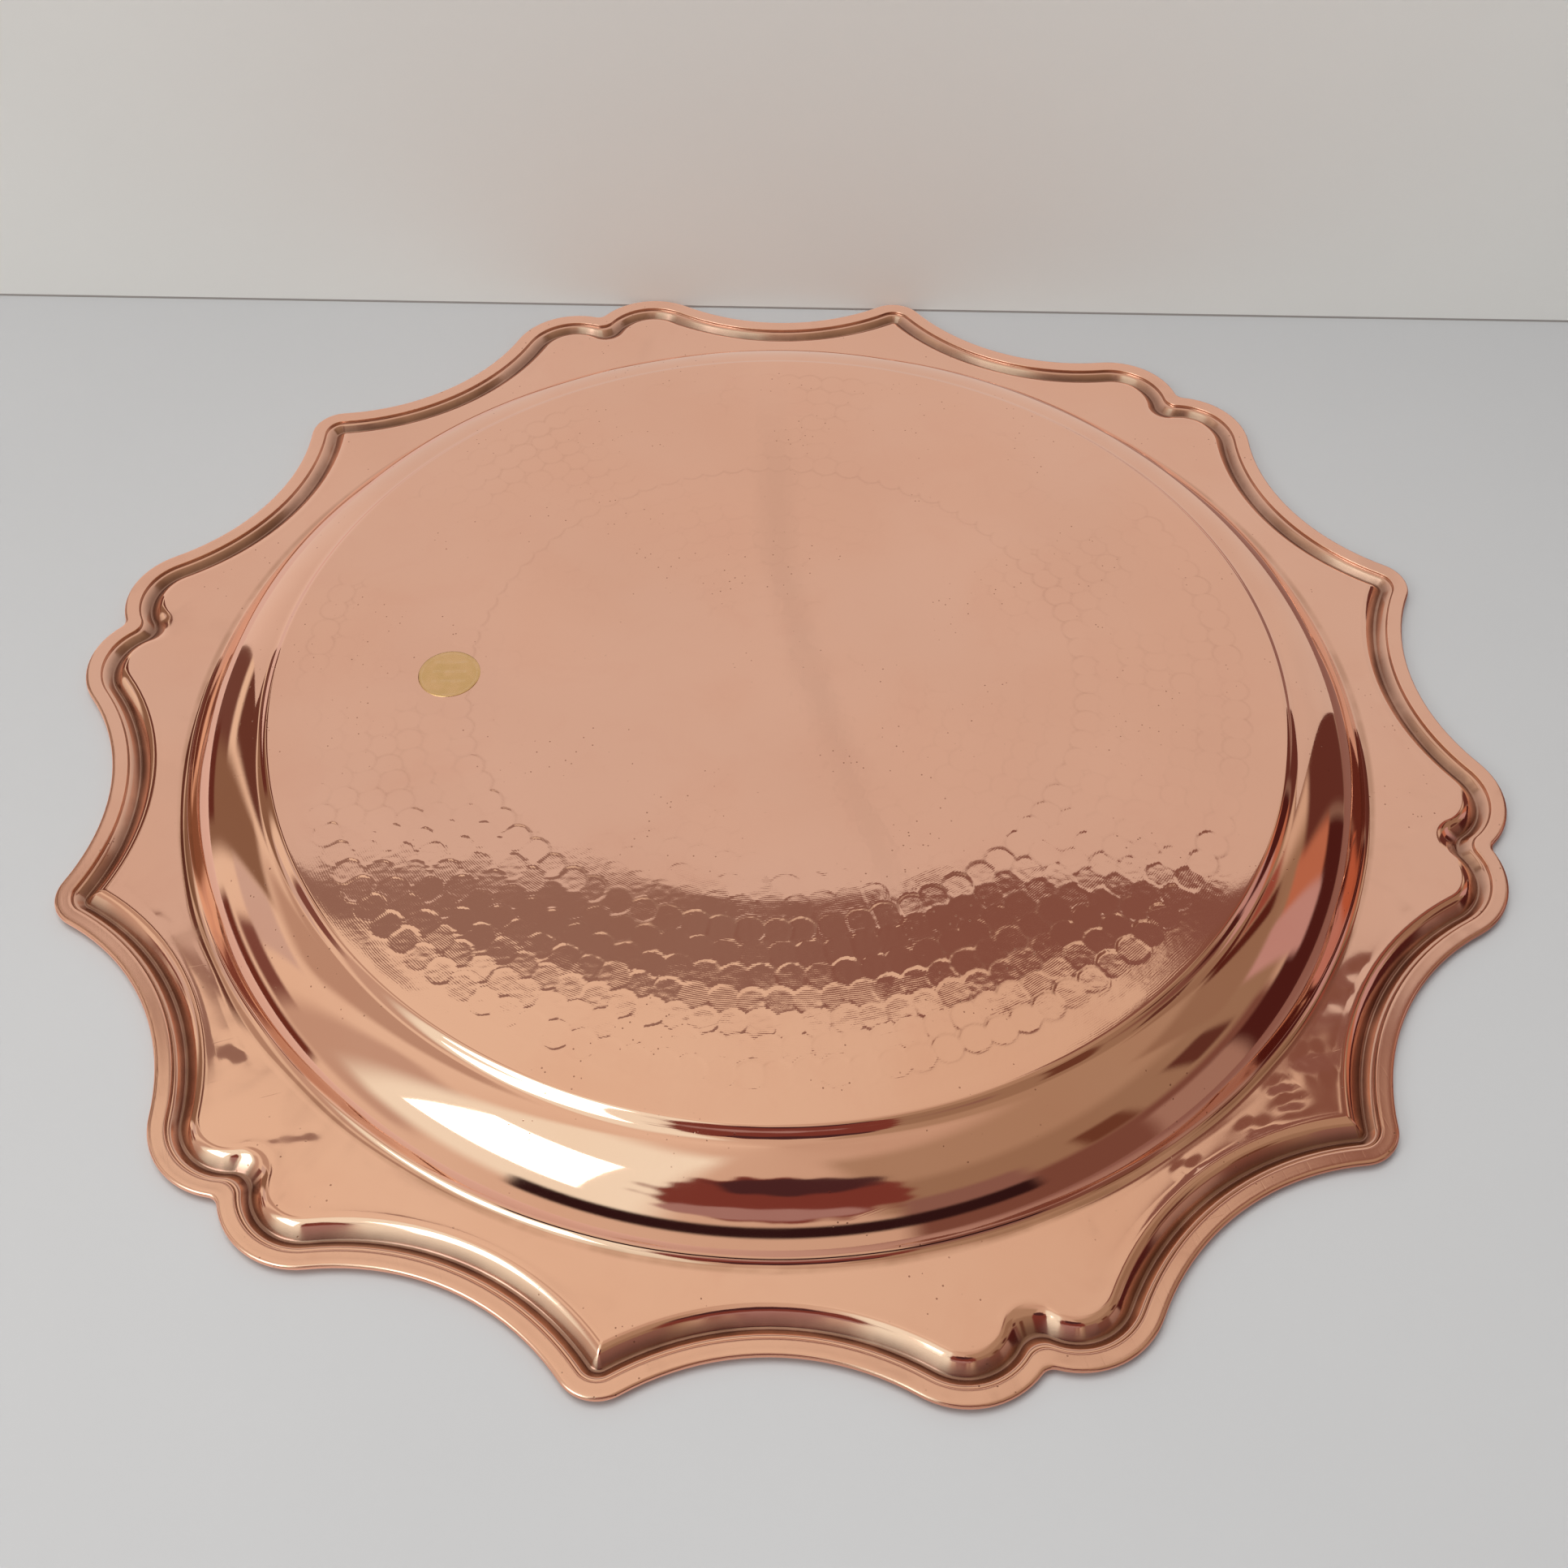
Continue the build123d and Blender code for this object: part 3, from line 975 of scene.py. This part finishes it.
def make_room():
    """The surroundings that the copper mirrors: a soft dome of plain tones."""
    high, way = np.meshgrid(np.linspace(ROOM_TOP, ROOM_FOOT, ROOM_DOWN),
                            np.linspace(-180, 180, ROOM_ACROSS, endpoint=False),
                            indexing="ij")
    high, way = high.ravel(), way.ravel()
    h, w = np.radians(high), np.radians(way)
    points = [room(*p) for p in ROOM_RADIUS * np.stack(
        [np.sin(h) * np.sin(w), np.sin(h) * np.cos(w), np.cos(h)], 1)]

    def lay(colours, weight, tone):
        return colours + (behind_copper(*tone) - colours) * weight[:, None]

    ceiling = 0.5 + 0.5 * np.cos(np.radians(way - CEILING_SIDE))
    colours = lay(np.tile(behind_copper(*CEILING), (len(way), 1)), ceiling, CEILING_BRIGHT)
    for centre, half, low, top, soft, tone in SURROUNDINGS:
        off = abs((way - centre + 180) % 360 - 180)
        weight = (np.clip((half - off) / soft + 0.5, 0, 1)
                  * np.clip((high - low) / soft + 0.5, 0, 1)
                  * np.clip((top - high) / soft + 0.5, 0, 1))
        colours = lay(colours, weight * weight * (3 - 2 * weight), tone)
    for centre, half, middle, tall, soft, tone in ROUND_SURROUNDINGS:
        off = np.hypot(((way - centre + 180) % 360 - 180) / half, (high - middle) / tall)
        off += 0.07 * np.sin(0.7 * way) + 0.05 * np.sin(0.9 * high + 0.23 * way)
        colours = lay(colours, np.clip((1 - off) / soft + 0.5, 0, 1), tone)
    faces = []
    for k in range(0, ROOM_ACROSS * (ROOM_DOWN - 1), ROOM_ACROSS):
        for j in range(ROOM_ACROSS):
            j2 = (j + 1) % ROOM_ACROSS
            faces.append((k + j, k + j2, k + ROOM_ACROSS + j2, k + ROOM_ACROSS + j))
    faces.append(tuple(reversed(range(ROOM_ACROSS))))        # the cap
    toned("room", points, faces, colours)


def flat(name, corners):
    """One face with the given corners in the room's axes."""
    return new_mesh(name, [room(*c) for c in corners], [tuple(range(len(corners)))],
                    smooth=False)


def paper(name, colour):
    """Pale matt board with a faint grain, clear when looked at from behind."""
    mat, out = shader(name)
    n = Nodes(mat)
    place = n.add("TexCoord").outputs["Object"]
    grain = n.smooth(n.noise(place, 5.0, 4.0, 0.5), 0.3, 0.7)
    shade = n.mix(grain, (*colour, 1), (*[c * 0.975 for c in colour], 1))
    both = n.add("MixShader")
    n.put(both.inputs[0], n.add("NewGeometry").outputs["Backfacing"])
    n.put(both.inputs[1], n.add("BsdfDiffuse", Color=shade).outputs[0])
    n.put(both.inputs[2], n.add("BsdfTransparent").outputs[0])
    n.put(out.inputs[0], both.outputs[0])
    return mat


def backing(name, corners, colour, shadow):
    """A stage sheet that the camera sees and the copper does not mirror."""
    obj = flat(name, corners)
    obj.data.materials.append(paper(name + "_paper", colour))
    obj.visible_glossy = False
    obj.visible_shadow = shadow


def lay_light(name, place, size, power, colour):
    """A round lamp aimed at the tray, which the copper does not mirror."""
    lamp = bpy.data.lights.new(name, "AREA")
    lamp.shape = "DISK"
    lamp.size = size * MM
    lamp.energy = power
    lamp.color = colour
    obj = bpy.data.objects.new(name, lamp)
    bpy.context.scene.collection.objects.link(obj)
    obj.location = room(*place)
    obj.rotation_euler = (-obj.location).to_track_quat("-Z", "Y").to_euler()
    obj.visible_glossy = False


STAGE_SPAN, WALL_HEIGHT, WALL_HALF = 4000.0, 900, 1500
FLOOR_COLOUR, WALL_COLOUR = (0.45, 0.45, 0.455), (0.83, 0.815, 0.78)
PAINTED_SHADOW_LINE_COLOUR = (0.36, 0.33, 0.31)      # painted shadow: the thin dark line where the floor meets the backdrop
WALL_Y, WALL_SLANT = 185.3, -0.0178        # front wall, where it meets the floor

# Shapes that only the copper sees, with the tones they have in it
TABLE_TONES = ((-520, (226, 170, 146)), (-120, (212, 155, 130)), (60, (176, 122, 100)),
               (200, (138, 86, 70)), (560, (134, 80, 64)))      # x, tone
BOARD_TONE, BOARD_HALF = (209, 160, 134), 312
BOARD_COLUMNS, BOARD_ROWS, BOARD_STEP, BOARD_RISE = 37, 23, 19, 17.5
GAP_Y, GAP_HEIGHT = 634, 1340              # dark room behind the board
GAP_LEFT, GAP_RIGHT = (144, 97, 78), (130, 76, 60)
LAMP_CORNERS = ((-1180, -640, 700), (-690, -1160, 700), (-520, -880, 1420),
                (-880, -500, 1420))
LAMP_COLOUR, LAMP_STRENGTH = (1.0, 0.98, 0.96, 1), 3.2
WORLD_COLOUR, WORLD_STRENGTH = (0.93, 0.96, 1.0, 1), 0.455
SEAM = (                                  # line in the front board: x, z, strength
    (-1, 55, 0.0), (-1, 105, 0.055), (-1, 150, 0.07), (12, 216, 0.07), (28, 272, 0.06),
    (58, 386, 0.03),
)


def make_backings():
    """Floor, backdrop and a painted shadow line where they meet."""
    span = STAGE_SPAN
    backing("floor", [(-span, -span, 0), (span, -span, 0), (span, span, 0),
                      (-span, span, 0)], FLOOR_COLOUR, False)
    for name, forward, low, high, colour, shadow in (
            ("backdrop", 0.0, 0, WALL_HEIGHT, WALL_COLOUR, True),
            # a thin dark strip of painted shadow along the backdrop's foot
            ("painted_shadow_line", 0.4, 0.1, 0.9, PAINTED_SHADOW_LINE_COLOUR, False)):
        backing(name, [(x, WALL_Y - forward + WALL_SLANT * x, z)
                       for x, z in ((-WALL_HALF, low), (WALL_HALF, low),
                                    (WALL_HALF, high), (-WALL_HALF, high))],
                colour, shadow)


def make_mirrored():
    """What the copper mirrors: the table, the front board's real extent and
    its seam, the dark room behind it, and the soft dome above and around."""
    toned_sheet("mirrored_table", [[(x, y, -0.05, behind_copper(*tone))
                                    for y in (-640, 190)] for x, tone in TABLE_TONES])
    shading = np.random.default_rng(5).uniform(0, 2 * math.pi, (5, 2))

    def board_tone(x, z, fade=0.0):
        soft = sum(math.sin((x * math.cos(a) + z * math.sin(a)) / 14 + b)
                   for a, b in shading) / 5
        tone = 1 + 0.03 * soft - 0.05 * (x / BOARD_HALF) ** 2 * (x > 0)
        tone += 0.16 * min(1, max(0, (-x - 150) / 90)) * max(0, 1 - z / 150)
        return behind_copper(*BOARD_TONE) * tone * (1 - fade)

    board = []
    for row in range(BOARD_ROWS):
        z = BOARD_RISE * row
        board.append([])
        for col in range(BOARD_COLUMNS):
            x = BOARD_STEP * col - BOARD_HALF
            board[-1].append((x, WALL_Y + 6 - 12 * col / (BOARD_COLUMNS - 1), z,
                              board_tone(x, z)))
    toned_sheet("front_board", board)
    toned_sheet("board_seam", [
        [(x + beside, WALL_Y - 9, z, board_tone(x + beside, z, fade * share))
         for beside, share in ((-9, 0), (-2, 1), (2, 1), (9, 0))] for x, z, fade in SEAM])
    gap = []
    for x in range(-640, 641, 40):
        share = 1 / (1 + math.exp(-(x - 20) / 60))
        tone = behind_copper(*GAP_LEFT) * (1 - share) + behind_copper(*GAP_RIGHT) * share
        top = GAP_HEIGHT - 130 * (x / 450) ** 2
        gap.append([(x, GAP_Y, -20, tone), (x, GAP_Y, top, tone)])
    toned_sheet("dark_gap", gap)
    make_room()
    lamp = flat("lamp_card", LAMP_CORNERS)
    mat, out = shader("lamp_card_tone")
    n = Nodes(mat)
    n.put(out.inputs[0], glow(n, LAMP_COLOUR, LAMP_STRENGTH))
    lamp.data.materials.append(mat)
    only_reflected(lamp)


def make_stage():
    make_backings()
    make_mirrored()
    world = bpy.data.worlds.new("studio")
    world.use_nodes = True
    background = world.node_tree.nodes["Background"]
    background.inputs[0].default_value = WORLD_COLOUR
    background.inputs[1].default_value = WORLD_STRENGTH
    bpy.context.scene.world = world
    lay_light("overhead_light", (-225, -20, 1500), 1100, 19.6, (1.0, 0.98, 0.95))
    lay_light("side_light", (-1300, -900, 1100), 700, 7, (1.0, 0.97, 0.92))


# ------------------------------------------------------------------------ build

scene = bpy.context.scene
scene.view_settings.view_transform = "Standard"
make_camera()
make_stage()

copper = copper_material()
tray = build_tray()
tray.data.materials.append(copper)
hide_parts("tray_body")
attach(tray, "root")

label = build_label()
label.data.materials.append(foil_material())
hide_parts("foil_label")
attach(label, "root")
